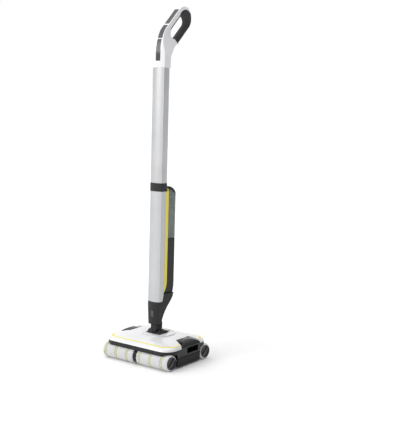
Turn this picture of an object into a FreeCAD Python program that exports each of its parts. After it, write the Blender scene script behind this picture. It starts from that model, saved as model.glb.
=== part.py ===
"""Cordless hard-floor roller cleaner: a stick with a fresh water tank on a four-roller floor head.

Millimetres, +Z up. The origin is on the floor, midway between the four rollers. The front faces -Y.
The head is modelled where it stands. The stick is modelled upright in its own frame, whose
origin is the steering pivot, and then leaned back by its parking angle.
"""
import FreeCAD, Part
import math
import os

V = FreeCAD.Vector

# ---- overall and driving sizes -------------------------------------------------------------
HEAD_WIDTH = 300.0            # across the roller ends
COVER_DEPTH = 220.0           # front to back of the white cover
COVER_CORNER = 42.0           # plan corner radius of the cover
COVER_BASE_Z = 66.0           # lower edge of the cover
COVER_RISE = 22.5             # from the lower edge to the flat top
COVER_WALL = 2.4
BAND_DROP = 15.0              # height of the black skirt below the cover
BAND_WALL = 3.0
FLANGE_THICK = 2.5            # inward flange that the cover is screwed to
GAP = 0.5                     # clearance between pieces that come apart
RUN = 0.05                    # radial clearance of a running fit

ROLLER_R = 27.5               # over the pile
AXLE_SPACING = 184.0          # front roller axis to rear roller axis
PILE_THICK = 5.5
CORE_WALL = 3.0
CAP_THICK = 5.0               # pull-off end cap
SHAFT_R = 6.0                 # drive shaft that the rollers slide onto
SHAFT_REACH = 58.0            # shaft length on each side of the gearbox
HUB_LENGTH = 10.0             # each of the two hubs inside a roller core

DIVIDER_HALF = 7.0            # half thickness of the gearbox between the rollers
DIVIDER_WALL = 2.5
DIVIDER_BOTTOM = 4.0
GEAR_MODULE = 1.5
GEAR_WIDTH = 6.0
DRIVE_TEETH = 24              # gear on each roller shaft
IDLER_TEETH = 25
PINION_TEETH = 12
PINION_ANGLE = 60.0           # of the pinion above the first idler, degrees
MOTOR_R = 12.0
MOTOR_LENGTH = 50.0

TANK_BOTTOM = 6.0             # dirty water trays
TANK_TOP = 38.0
TANK_HALF_DEPTH = 58.0
TANK_RIM_HALF = 60.5         # the rims that hang in the chassis rails
TANK_RIM_DROP = 3.5
TANK_WALL = 2.0
DECK_Z = 40.0                 # chassis deck above the trays
DECK_THICK = 2.5
CHASSIS_HALF_X = 104.0
CHASSIS_HALF_Y = 64.0
CHASSIS_WALL = 2.0
POD_INNER_X = 106.0           # grip pod of a tray, in plan: narrow inside, wide outside
POD_FRONT_IN, POD_REAR_IN = -18.0, 50.0
POD_FRONT_OUT, POD_REAR_OUT = -40.0, 62.0
POD_BASE_Z = 40.0
POD_CREST_Z = 87.5
POD_LIP_Z = 68.0

TILT_Y, TILT_Z = 7.0, 80.0    # axis of the drum that lets the stick lean back
DRUM_R = 22.0
DRUM_WALL = 3.5
DRUM_HALF = 33.0
TILT_PIN_R = 4.0
STEER_Z = 108.0               # axis of the sideways pivot
STEER_PIN_R = 3.5
EAR_R, EAR_THICK = 14.0, 9.0  # front ear of the stick
REAR_EAR_R, REAR_EAR_THICK = 10.0, 4.0
KNUCKLE_R = 11.0
YOKE_HALF_Y = 11.0            # half length of the knuckle between the ears
YOKE_BASE_Z = 89.0            # lower edge of the pyramid
YOKE_BASE_HALF_Y = 26.0
YOKE_TOP_HALF = 17.0
YOKE_TOP_Z = STEER_Z - 5.0

LEAN = 2.54                   # parked lean of the stick, degrees
TUBE_HALF = 27.0              # half width of the aluminium tube
TUBE_FRONT = -23.7            # corner line of the front face, from the steering pivot
TUBE_CROWN = 5.0              # how far the front face bulges
TUBE_REAR = 8.6
TUBE_REAR_CORNER = 10.0
TUBE_WALL = 1.8
LOWER_TUBE_REAR = -1.0        # the lower tube is shallower, and the yellow trim closes it
FOOT_TOP = 97.0
FOOT_BOTTOM = 14.0
BAND_LOW, BAND_HIGH = 484.6, 513.6
TUBE_TOP = 907.5
TRIM_REAR = 19.0
TRIM_REAR_HALF = 22.5
TRIM_WALL = 2.0
REAR_HALF = 22.0              # half width of the battery housing and the fresh water tank
REAR_Y = 63.0                 # back of the housing, from the steering pivot
REAR_CORNER = 9.0
REAR_WALL = 2.0
TANK_SPLIT = 318.6            # battery housing below, fresh water tank above
FRESH_TOP = 501.5
FRESH_TOP_R = 46.0
FRESH_CAP_HEIGHT = 16.0

GRIP_Y, GRIP_Z = 53.8, TUBE_TOP + 131.3    # a point on the middle line of the finger opening
GRIP_TILT = 45.0              # grip above the horizontal, degrees
HOLE_LOW, HOLE_HIGH = -39.0, 66.0   # ends of the opening, along the grip from that point
HOLE_R = 21.0                 # half width of the opening
FRONT_BAR, REAR_BAR = 20.0, 19.0
GRIP_END = 98.0               # outer end of the grip, along it
GRIP_HALF = 13.5              # half width of the front bar
REAR_BAR_HALF = 9.5
INLAY_DEPTH = 4.2
PAD_HALF = 9.5                # half width of the dark pads on the handle's front
PAD_DEPTH = 2.5
BUTTON_TRAVEL = 1.2

PLATE_TOP_Z = 91.5            # oval plate round the joint
PLATE_HALF_X, PLATE_HALF_Y = 62.0, 48.0
PLATE_Y = 10.0
PLATE_LOW = COVER_BASE_Z + COVER_RISE - 3.6
SLOT_HALF, SLOT_REAR = 25.0, 51.0    # gap behind the pyramid for the ears of a leaned stick

RIM_SHARE = 0.53              # height of the cover's rim, as a share of the cover's rise
INLAY_RISE = 1.3              # the yellow line lies in the shallow slope above the rim
SCREW_R, SCREW_BOSS_R = 1.6, 4.5
SCREW_SPOTS = [(x, y) for x in (-95, 95) for y in (-55, 55)]
MOTOR_SHAFT_R = 2.0
IDLER_PIN_R = 3.0
FINGER = {"depth": 24.0, "front": -10.0, "rear": 50.0, "low": 44.0, "lip": 4.0}   # recess in each tank's side

SPLIT_LINE = [(-60, 91), (TUBE_FRONT, 97), (-8, 97), (LOWER_TUBE_REAR, 124), (60, 124), (60, 0), (-60, 0)]
BUTTON_HALF, BUTTON_LOW, BUTTON_HIGH = 7.0, 43.0, 65.0     # release button on the foot
COUPLER_REACH = 35.0          # how far the inner coupler reaches past the collar
SOCKET = (REAR_Y - 12.0, 250.0)
SOCKET_OUT, SOCKET_BORE = 5.0, 2.8

FRONT_REACH = HOLE_R + FRONT_BAR     # outer faces of the grip's two bars, from its middle line
REAR_REACH = HOLE_R + REAR_BAR
NECK_LOW, NECK_HIGH = TUBE_TOP + 37.5, TUBE_TOP + 114.5   # the handle narrows between these
SLIM_FROM = -30.0             # above this the rear bar is slimmer than the front bar
PAD_GAP = 0.5
LENS_SPAN = (TUBE_TOP + 22.5, TUBE_TOP + 95.5)   # heights of the display lens
BOOST_SPAN = (-15.0, 59.0)    # ends of the boost button, along the grip
POWER_LOW, POWER_HIGH = TUBE_TOP + 98.5, -22.0
BOOST_PUSH, POWER_PUSH = 45.0, 22.0  # the way each is pressed, degrees below level
HANDLE_SCREWS = [(3.8, TUBE_TOP + 22.5, -19.0), (18.0, TUBE_TOP + 82.5, -15.0)]

os.makedirs("parts", exist_ok=True)


# ---- small tools ---------------------------------------------------------------------------
def save(shape, name):
    """Writes one node and prints its volume and number of solids."""
    shape = shape.removeSplitter()
    shape.exportStep(f"parts/{name}.step")
    print(f"{name:24s} {shape.Volume / 1000:9.2f} cm3 {len(shape.Solids):3d} solids valid {shape.isValid()}")


def box(x0, x1, y0, y1, z0, z1):
    return Part.makeBox(x1 - x0, y1 - y0, z1 - z0, V(x0, y0, z0))


def rod(r, start, end):
    axis = V(*end) - V(*start)
    return Part.makeCylinder(r, axis.Length, V(*start), axis)


def tube(r_out, r_in, start, end):
    return rod(r_out, start, end).cut(rod(r_in, start, end))


def prism_x(points, x0, x1):
    """A closed outline of (y, z) points pushed along X."""
    wire = Part.makePolygon([V(x0, y, z) for y, z in points + points[:1]])
    return Part.Face(wire).extrude(V(x1 - x0, 0, 0))


def prism_y(points, y0, y1):
    wire = Part.makePolygon([V(x, y0, z) for x, z in points + points[:1]])
    return Part.Face(wire).extrude(V(0, y1 - y0, 0))


def prism_z(points, z0, z1):
    wire = Part.makePolygon([V(x, y, z0) for x, y in points + points[:1]])
    return Part.Face(wire).extrude(V(0, 0, z1 - z0))


def rounded_wire(half_x, half_y, r, z, cy=0.0):
    """A rounded rectangle in plan, as four lines and four arcs."""
    s = r * math.sqrt(0.5)
    edges = []
    corners = [(1, -1, -90), (1, 1, 0), (-1, 1, 90), (-1, -1, 180)]
    ends = []
    for sx, sy, start in corners:
        c = V(sx * (half_x - r), cy + sy * (half_y - r), z)
        a0, a1 = math.radians(start), math.radians(start + 90)
        am = (a0 + a1) / 2
        p = [V(c.x + r * math.cos(a), c.y + r * math.sin(a), z) for a in (a0, am, a1)]
        ends.append(p)
    for i, p in enumerate(ends):
        edges.append(Part.Arc(*p).toShape())
        edges.append(Part.LineSegment(p[2], ends[(i + 1) % 4][0]).toShape())
    return Part.Wire(edges)


def rounded_slab(half_x, half_y, r, z0, z1, cy=0.0):
    return Part.Face(rounded_wire(half_x, half_y, r, z0, cy)).extrude(V(0, 0, z1 - z0))


def smooth_outline(points, plane):
    """A closed wire through points, where an entry ('arc', mid, end) bends to its end."""
    place = {"yz": lambda p: V(0, p[0], p[1]), "xy": lambda p: V(p[0], p[1], 0)}[plane]
    edges, at = [], points[0]
    for p in points[1:] + points[:1]:
        if p[0] == "arc":
            edges.append(Part.Arc(place(at), place(p[1]), place(p[2])).toShape())
            at = p[2]
        elif place(at).distanceToPoint(place(p)) > 1e-6:
            edges.append(Part.LineSegment(place(at), place(p)).toShape())
            at = p
    return Part.Wire(edges)


def mirror_x(shape):
    return shape.mirror(V(0, 0, 0), V(1, 0, 0))


def both_sides(shape):
    return shape.fuse(mirror_x(shape))


def as_group(shapes):
    return Part.makeCompound(shapes)


def screw_across(r, y, z, x0, length):
    """A pan-head screw along +X with the outside of its head at x0."""
    head = rod(1.9 * r, (x0, y, z), (x0 + 1.2 * r, y, z))
    shank = rod(r, (x0 + 1.2 * r, y, z), (x0 + length, y, z))
    return head.fuse(shank), rod(0.8 * r, (x0, y, z), (x0 + 0.7 * r, y, z))


def screw_down(r, x, y, z, length):
    """A pan-head screw whose head sits on z and whose shank points down."""
    top = z + 1.2 * r
    head = rod(1.9 * r, (x, y, z), (x, y, top))
    shank = rod(r, (x, y, z - length), (x, y, z))
    return head.fuse(shank).cut(rod(0.8 * r, (x, y, top - 0.7 * r), (x, y, top)))


# ---- gears ---------------------------------------------------------------------------------
PRESSURE_ANGLE = math.radians(25.0)
BACKLASH = 0.30               # taken off each tooth's thickness
ADDENDUM, DEDENDUM = 0.88, 1.2


def pitch_r(teeth):
    return GEAR_MODULE * teeth / 2


def gear_face_points(teeth, phase):
    """Outline of an involute spur gear whose first tooth points at angle phase, in radians."""
    rp = pitch_r(teeth)
    rb, ra, rf = rp * math.cos(PRESSURE_ANGLE), rp + ADDENDUM * GEAR_MODULE, rp - DEDENDUM * GEAR_MODULE
    half = (math.pi * GEAR_MODULE / 2 - BACKLASH) / 2 / rp
    inv = lambda r: math.sqrt((r / rb) ** 2 - 1) - math.atan(math.sqrt((r / rb) ** 2 - 1))
    start = max(rb * 1.0005, rf)
    radii = [start + (ra - start) * k / 3 for k in range(4)]
    flank = [(r, half + inv(rp) - inv(r)) for r in radii]
    points = []
    for k in range(teeth):
        middle = phase + 2 * math.pi * k / teeth
        root = flank[0][1]
        side = [(rf, -root)] if rf < start - 1e-6 else []
        side += [(r, -a) for r, a in flank]
        side += [(r, -a) for r, a in [(r, -a) for r, a in reversed(flank)]]
        side += [(rf, root)] if rf < start - 1e-6 else []
        points += [(r * math.cos(middle + a), r * math.sin(middle + a)) for r, a in side]
    return points


def gear(teeth, centre, phase, x0, x1, bore):
    cy, cz = centre
    body = prism_x([(cy + y, cz + z) for y, z in gear_face_points(teeth, phase)], x0, x1)
    return body.cut(rod(bore, (x0 - 1, cy, cz), (x1 + 1, cy, cz))) if bore else body


def next_phase(c1, phase1, teeth1, c2, teeth2):
    """Phase that puts gear 2's gap over gear 1's tooth."""
    line = math.atan2(c2[1] - c1[1], c2[0] - c1[0])
    t1 = (line - phase1) * teeth1 / (2 * math.pi)
    return line + math.pi - (0.5 - t1) * 2 * math.pi / teeth2


def polar(c, r, degrees):
    return (c[0] + r * math.cos(math.radians(degrees)), c[1] + r * math.sin(math.radians(degrees)))


def crossing(c1, r1, c2, r2, side):
    """Where a circle about c1 meets one about c2, on the side given by +1 or -1."""
    dy, dz = c2[0] - c1[0], c2[1] - c1[1]
    d = math.hypot(dy, dz)
    a = (r1 * r1 - r2 * r2 + d * d) / (2 * d)
    h = math.sqrt(r1 * r1 - a * a)
    return (c1[0] + a * dy / d - side * h * dz / d, c1[1] + a * dz / d + side * h * dy / d)


FRONT_AXLE = (-AXLE_SPACING / 2, ROLLER_R)
REAR_AXLE = (AXLE_SPACING / 2, ROLLER_R)
END_MESH = pitch_r(DRIVE_TEETH) + pitch_r(IDLER_TEETH)
IDLER_MESH = 2 * pitch_r(IDLER_TEETH)
PINION_MESH = pitch_r(PINION_TEETH) + pitch_r(IDLER_TEETH)
ZIGZAG = math.degrees(math.acos((AXLE_SPACING - END_MESH) / (END_MESH + 3 * IDLER_MESH)))
IDLERS = [polar(FRONT_AXLE, END_MESH, ZIGZAG)]
IDLERS.append(polar(IDLERS[0], IDLER_MESH, -ZIGZAG))
IDLERS.append(polar(IDLERS[1], IDLER_MESH, ZIGZAG))
IDLERS.append(crossing(IDLERS[2], IDLER_MESH, REAR_AXLE, END_MESH, -1))
PINION = polar(IDLERS[0], PINION_MESH, PINION_ANGLE)

PHASES = [next_phase(FRONT_AXLE, 0.0, DRIVE_TEETH, IDLERS[0], IDLER_TEETH)]
for k in range(1, 4):
    PHASES.append(next_phase(IDLERS[k - 1], PHASES[-1], IDLER_TEETH, IDLERS[k], IDLER_TEETH))
REAR_PHASE = next_phase(IDLERS[3], PHASES[3], IDLER_TEETH, REAR_AXLE, DRIVE_TEETH)
PINION_PHASE = next_phase(IDLERS[0], PHASES[0], IDLER_TEETH, PINION, PINION_TEETH)


def gear_train():
    half = GEAR_WIDTH / 2
    for k, (centre, phase) in enumerate(zip(IDLERS, PHASES)):
        save(gear(IDLER_TEETH, centre, phase, -half, half, IDLER_PIN_R + RUN), f"idler_gear_{k + 1}")
    pins = [rod(IDLER_PIN_R, (-DIVIDER_HALF + 1.5, *c), (DIVIDER_HALF - 1.5, *c)) for c in IDLERS]
    save(as_group(pins), "idler_pins")
    shaft = rod(MOTOR_SHAFT_R, (half, *PINION), (DIVIDER_HALF + 12, *PINION))
    save(gear(PINION_TEETH, PINION, PINION_PHASE, -half, half, 0).fuse(shaft), "motor_pinion")
    for name, axle, phase in (("front", FRONT_AXLE, 0.0), ("rear", REAR_AXLE, REAR_PHASE)):
        body = gear(DRIVE_TEETH, axle, phase, -half, half, 0)
        reach = DIVIDER_HALF + SHAFT_REACH
        body = body.fuse(rod(SHAFT_R, (-reach, *axle), (reach, *axle)))
        for sign in (-1, 1):
            tip = Part.makeCone(SHAFT_R, SHAFT_R * 0.6, 3, V(sign * reach, *axle), V(sign, 0, 0))
            body = body.fuse(tip)
        save(body, f"{name}_drive_shaft")


# ---- rollers -------------------------------------------------------------------------------
def roller(prefix, axle, sign):
    """Pile sleeve, core with two hubs, and pull-off cap of one roller; sign is its side in X."""
    x0, x1 = DIVIDER_HALF + 1.0, HEAD_WIDTH / 2
    core_r = ROLLER_R - PILE_THICK
    at = lambda x: (sign * x, *axle)
    save(tube(ROLLER_R, core_r, at(x0), at(x1 - 1.0)), f"{prefix}_sleeve")
    core = tube(core_r, core_r - CORE_WALL, at(x0), at(x1 - CAP_THICK))
    for hub in (x0 + 2, x0 + SHAFT_REACH - HUB_LENGTH - 3):
        web = tube(core_r - CORE_WALL, SHAFT_R + 2.5, at(hub + 3), at(hub + 6))
        core = core.fuse(web).fuse(tube(SHAFT_R + 2.5, SHAFT_R + RUN, at(hub), at(hub + HUB_LENGTH)))
    save(core, f"{prefix}_core")
    cap = rod(core_r, at(x1 - CAP_THICK), at(x1)).cut(rod(core_r - 2.5, at(x1 - CAP_THICK + 2), at(x1)))
    a, b = sorted((sign * (x1 - CAP_THICK + 1.5), sign * x1))
    bar = box(a, b, axle[0] - core_r + 1.5, axle[0] + core_r - 1.5, axle[1] - 3.2, axle[1] + 3.2)
    bar.rotate(V(0, *axle), V(1, 0, 0), 40)
    save(cap.fuse(bar), f"{prefix}_cap")


# ---- dirty water trays with grip pods ------------------------------------------------------
def pod_plan(extra):
    x1 = HEAD_WIDTH / 2
    return [(POD_INNER_X - extra, POD_FRONT_IN - extra), (x1 + extra, POD_FRONT_OUT - extra),
            (x1 + extra, POD_REAR_OUT + extra), (POD_INNER_X - extra, POD_REAR_IN + extra)]


def pod_solid():
    """Right-hand grip pod: an arch along X cut by an arch along Y, with a finger recess."""
    x1 = HEAD_WIDTH / 2
    body = prism_z(pod_plan(0), POD_BASE_Z, POD_CREST_Z + 5)
    mid_y = (POD_FRONT_OUT + POD_REAR_OUT) / 2
    arch = Part.Face(smooth_outline(
        [(POD_FRONT_OUT - 1, POD_BASE_Z), (POD_FRONT_OUT - 1, POD_LIP_Z + 2),
         ("arc", (mid_y, POD_CREST_Z), (POD_REAR_OUT + 1, POD_LIP_Z + 3)),
         (POD_REAR_OUT + 1, POD_BASE_Z)], "yz")).extrude(V(x1 + 10, 0, 0))
    body = body.common(arch)
    start = V(POD_INNER_X - 1, 0, POD_CREST_Z - 2)
    edges = [Part.LineSegment(V(POD_INNER_X - 1, 0, POD_BASE_Z), start).toShape(),
             Part.Arc(start, V(x1 - 14, 0, POD_CREST_Z - 3), V(x1, 0, POD_LIP_Z)).toShape(),
             Part.LineSegment(V(x1, 0, POD_LIP_Z), V(x1, 0, POD_BASE_Z)).toShape(),
             Part.LineSegment(V(x1, 0, POD_BASE_Z), V(POD_INNER_X - 1, 0, POD_BASE_Z)).toShape()]
    slope = Part.Face(Part.Wire(edges)).extrude(V(0, HEAD_WIDTH, 0))
    slope.translate(V(0, -HEAD_WIDTH / 2, 0))
    return body.common(slope)


def dirty_tank(side, sign):
    """Open tray that slides out sideways, and the lid with its grip pod."""
    x0, x1 = DIVIDER_HALF + 2.0, HEAD_WIDTH / 2
    d, w, rim = TANK_HALF_DEPTH, TANK_WALL, TANK_RIM_HALF
    tray = box(x0, x1 - 4, -d, d, TANK_BOTTOM, TANK_TOP)
    tray = tray.cut(box(x0 + w, x1 - 4 - w, -d + w, d - w, TANK_BOTTOM + w, TANK_TOP + 1))
    outer = prism_y([(x1 - 4, TANK_BOTTOM), (x1 - 3, TANK_BOTTOM), (x1, 33), (x1 - 1, 35),
                     (x1 - 1, TANK_TOP), (x1 - 4, TANK_TOP)], -rim, rim)
    tray = tray.fuse(outer)
    for y in (-30, 0, 30):                       # ribs that calm the water
        tray = tray.fuse(box(x0 + 20, x1 - 40, y - 0.75, y + 0.75, TANK_BOTTOM + w, 22))
    lid = box(x0 + 1, POD_INNER_X + 2, -d, d, TANK_TOP, TANK_TOP + 1.5)
    for y in (-d + 4, d - 12):                   # slots the wrung-out water runs in through
        lid = lid.cut(box(x0 + 12, POD_INNER_X - 12, y, y + 8, TANK_TOP - 1, TANK_TOP + 3))
    lid = lid.fuse(box(POD_INNER_X + 2, x1 - 1, -rim, rim, TANK_TOP, POD_BASE_Z))
    for s in (-1, 1):                            # rims that hang in the rails
        a, b = sorted((s * (d + GAP / 2), s * rim))
        c, e = sorted((s * (d - 1), s * rim))
        lid = lid.fuse(box(x0 + 1, x1 - 5, c, e, TANK_TOP, TANK_TOP + 1.5))
        lid = lid.fuse(box(x0 + 1, x1 - 5, a, b, TANK_TOP + 1.5 - TANK_RIM_DROP, TANK_TOP + 1.5))
    f = FINGER
    pod = pod_solid()
    pod = pod.cut(box(x1 - f["depth"], x1 + 1, f["front"], f["rear"], f["low"], POD_LIP_Z - f["lip"]))
    pod = pod.cut(box(POD_INNER_X + 3, x1 - f["depth"] - 3, POD_FRONT_IN + 3, POD_REAR_IN - 3,
                      POD_BASE_Z - 1, POD_CREST_Z - 12))
    cheeks = box(x1 - 4, x1 - 1, -rim, POD_FRONT_OUT, POD_BASE_Z, COVER_BASE_Z - GAP)
    grip = pod.fuse(cheeks).fuse(lid)
    for shape, name in ((tray, "tray"), (grip, "grip")):
        save(shape if sign > 0 else mirror_x(shape), f"{side}_tank_{name}")


# ---- head shell ----------------------------------------------------------------------------
def cover_sections(inset, drop):
    """Plan half sizes of the cover at a few heights: a steep rim, then a shallow dome."""
    hx, hy, r = HEAD_WIDTH / 2, COVER_DEPTH / 2, COVER_CORNER
    rise = COVER_RISE
    steps = [(0, 0, 0), (0.28, 1.5, 3.5), (RIM_SHARE, 6.0, 11.0), (0.80, 32.0, 34.0), (1.0, 70.0, 64.0)]
    wires = []
    for share, pull_x, pull_y in steps:
        wires.append(rounded_wire(hx - pull_x - inset, hy - pull_y - inset,
                                  max(r - pull_x * 0.35 - inset, 8), COVER_BASE_Z + share * rise - drop))
    return wires


def joint_opening():
    """Hole in the plate: the pyramid's sweep, and a slot behind it for the stick's ears."""
    reach = math.hypot(YOKE_BASE_HALF_Y, YOKE_BASE_Z - TILT_Z) + GAP
    pyramid = box(-DRUM_HALF - 1, DRUM_HALF + 1, TILT_Y - reach, TILT_Y + reach, 50, PLATE_TOP_Z + 5)
    slot = box(-SLOT_HALF, SLOT_HALF, TILT_Y, SLOT_REAR, 50, PLATE_TOP_Z + 5)
    top = PLATE_TOP_Z + 1
    slope = [(SLOT_REAR - 1, top - 5.5), (SLOT_REAR + 2.5, top), (SLOT_REAR - 1, top)]
    return pyramid.fuse(slot).fuse(prism_x(slope, -SLOT_HALF, SLOT_HALF))


def both_pods(extra):
    return both_sides(prism_z(pod_plan(extra), POD_BASE_Z - 10, POD_CREST_Z + 10))


def head_shell():
    outer = Part.makeLoft(cover_sections(0, 0), True, True)
    inner = Part.makeLoft(cover_sections(COVER_WALL, COVER_WALL * 0.9), True, True)
    below = rounded_slab(HEAD_WIDTH / 2 - COVER_WALL, COVER_DEPTH / 2 - COVER_WALL,
                         COVER_CORNER - COVER_WALL, COVER_BASE_Z - 5, COVER_BASE_Z)
    cover = outer.cut(inner).cut(below)
    hx, hy, r = HEAD_WIDTH / 2, COVER_DEPTH / 2, COVER_CORNER
    line_z = COVER_BASE_Z + RIM_SHARE * COVER_RISE + 0.1
    ring = outer.common(box(-hx, hx, -hy, hy, line_z, line_z + INLAY_RISE))
    ring = ring.cut(outer.translated(V(0, 0, -1.3)))
    walls = both_pods(GAP + COVER_WALL).cut(both_pods(GAP)).common(outer)
    inlay = ring.cut(both_pods(GAP + COVER_WALL))
    cover = cover.fuse(walls).cut(inlay).cut(both_pods(GAP))
    top = COVER_BASE_Z + COVER_RISE
    cover = cover.cut(rounded_slab(PLATE_HALF_X, PLATE_HALF_Y, 40, top - 4, PLATE_TOP_Z + 1, PLATE_Y))
    save(cover, "head_cover")
    save(inlay, "cover_inlay")
    plate = rounded_slab(PLATE_HALF_X, PLATE_HALF_Y, 40, PLATE_LOW, PLATE_TOP_Z, PLATE_Y)
    plate = plate.cut(joint_opening())
    for s in (-1, 1):                            # room for the tops of the drum's posts
        a, b = sorted((s * DRUM_HALF, s * (DRUM_HALF + 9)))
        plate = plate.cut(box(a, b, TILT_Y - 10, TILT_Y + 10, 50, TILT_Z + 9.5))
    groove = rounded_slab(PLATE_HALF_X - 7, PLATE_HALF_Y - 2.5, 36, PLATE_TOP_Z - 1.2, PLATE_TOP_Z + 1, PLATE_Y)
    groove = groove.cut(rounded_slab(PLATE_HALF_X - 9.5, PLATE_HALF_Y - 5, 34, 80, 99, PLATE_Y))
    groove = groove.common(box(-38, 38, -60, TILT_Y - 20, 0, 200))
    save(plate.cut(groove), "joint_plate")

    low = COVER_BASE_Z - BAND_DROP
    band = rounded_slab(hx, hy, r, low, COVER_BASE_Z)
    band = band.cut(rounded_slab(hx - BAND_WALL, hy - BAND_WALL, r - BAND_WALL, low - 1,
                                 COVER_BASE_Z - FLANGE_THICK))
    band = band.cut(box(-CHASSIS_HALF_X + 4, CHASSIS_HALF_X - 4, -CHASSIS_HALF_Y + 4,
                        CHASSIS_HALF_Y - 4, low, COVER_BASE_Z + 1))
    for x, y in SCREW_SPOTS:
        band = band.fuse(rod(SCREW_BOSS_R + 2, (x, y, COVER_BASE_Z - FLANGE_THICK), (x, y, COVER_BASE_Z)))
    for x, y in SCREW_SPOTS:
        band = band.cut(rod(SCREW_R, (x, y, low), (x, y, COVER_BASE_Z + 1)))
    band = band.cut(both_pods(GAP))
    side = box(hx - 4.6, hx + 1, -TANK_RIM_HALF - GAP, POD_FRONT_OUT + 5, 0, COVER_BASE_Z + 1)
    band = band.cut(side).cut(mirror_x(side))
    for axle in (FRONT_AXLE, REAR_AXLE):         # arches over the rollers
        band = band.cut(rod(ROLLER_R + 1.5, (-hx - 1, *axle), (hx + 1, *axle)))
    save(band, "bumper_band")


# ---- chassis, gearbox, motor and water parts -----------------------------------------------
def divider_profile(shrink):
    """Outline of the gearbox in side view: a long case with round ends and a hump for the pinion."""
    r = ROLLER_R - 3.5 - shrink
    low, high = DIVIDER_BOTTOM + shrink, 57.0 - shrink
    mid = prism_x([(FRONT_AXLE[0], low), (REAR_AXLE[0], low), (REAR_AXLE[0], ROLLER_R + r),
                   (60 - shrink, high), (-70 + shrink, high), (FRONT_AXLE[0], ROLLER_R + r)], -50, 50)
    for axle in (FRONT_AXLE, REAR_AXLE):
        mid = mid.fuse(rod(r, (-50, *axle), (50, *axle)))
    hump_r = pitch_r(PINION_TEETH) + 5.5 - shrink
    mid = mid.fuse(rod(hump_r, (-50, *PINION), (50, *PINION)))
    return mid.common(box(-60, 60, -200, 200, low, 200))


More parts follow.
